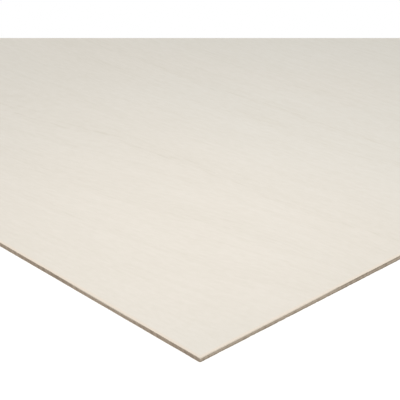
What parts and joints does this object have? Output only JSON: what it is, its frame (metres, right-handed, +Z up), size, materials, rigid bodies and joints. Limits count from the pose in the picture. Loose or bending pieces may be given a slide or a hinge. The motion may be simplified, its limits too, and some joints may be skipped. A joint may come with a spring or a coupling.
{
  "type": "plywood sheet",
  "caption": "Thin pale plywood sheet: a flat rectangular stock panel with sanded veneer faces and sawn edges, for cutting, lining, backing and model making.",
  "frame": {"origin": "middle of the underside, on the surface that the sheet lies on", "axes": "+X along the long side and the face grain, +Y across the sheet, +Z up through the thickness"},
  "size_m": [1.2, 0.6, 0.004],
  "materials": {
    "plywood": "pale sanded veneer, untreated, with tan sawn edges"
  },
  "bodies": {
    "root": {"plywood_sheet": "plywood"}
  },
  "joints": []
}
